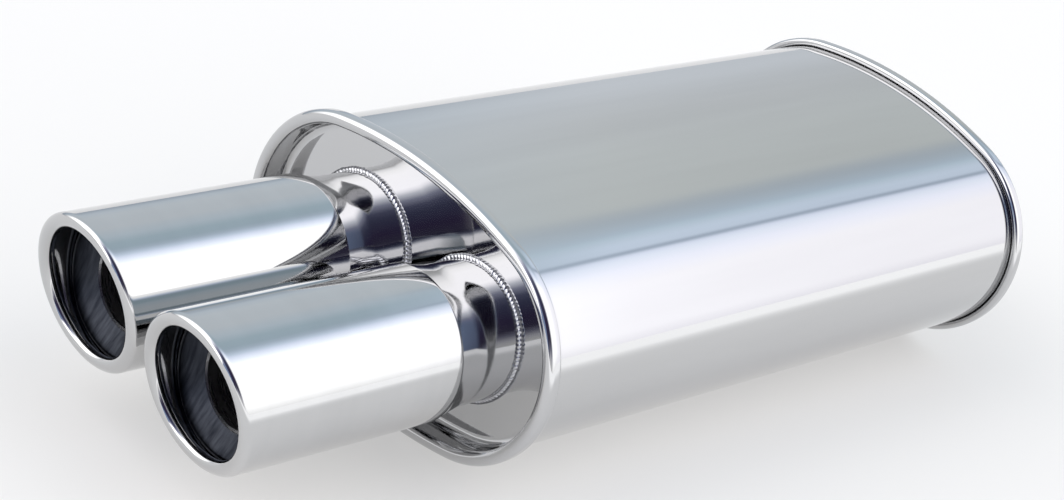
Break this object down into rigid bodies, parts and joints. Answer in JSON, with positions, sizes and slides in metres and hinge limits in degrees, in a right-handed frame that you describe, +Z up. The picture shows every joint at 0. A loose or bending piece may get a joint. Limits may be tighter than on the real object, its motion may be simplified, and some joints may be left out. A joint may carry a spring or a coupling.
{
  "type": "exhaust muffler",
  "caption": "Oval exhaust muffler with caps folded into its rims, a slip-on inlet, perforated cores and slant-cut tips with curled lips.",
  "frame": {"origin": "centre of the inlet socket's mouth", "axes": "+X out of the inlet, away from the body; +Z up, across the flat of the oval; the outlet tips face -X"},
  "size_m": [0.5531, 0.2018, 0.1234],
  "materials": {
    "polished_sheet": "polished stainless steel sheet",
    "brushed_pipe": "mill-finish stainless steel tube and sheet",
    "weld_metal": "bright weld bead with ripples",
    "steel_wool": "matted stainless steel wool",
    "glass_fibre": "matted glass-fibre packing"
  },
  "bodies": {
    "root": {"body_shell": "polished_sheet", "front_cap": "polished_sheet", "rear_cap": "polished_sheet", "inlet_pipe": "brushed_pipe", "inlet_weld": "weld_metal", "inlet_core": "brushed_pipe", "inlet_wool": "steel_wool", "inlet_packing": "glass_fibre", "rear_baffle": "brushed_pipe", "front_baffle": "brushed_pipe", "outlet_packing": "glass_fibre", "left_core": "brushed_pipe", "right_core": "brushed_pipe", "left_wool": "steel_wool", "right_wool": "steel_wool", "left_pipe": "brushed_pipe", "right_pipe": "brushed_pipe", "left_funnel": "polished_sheet", "right_funnel": "polished_sheet", "left_neck": "polished_sheet", "right_neck": "polished_sheet", "left_neck_weld": "weld_metal", "right_neck_weld": "weld_metal", "left_tip": "polished_sheet", "right_tip": "polished_sheet"}
  },
  "joints": []
}
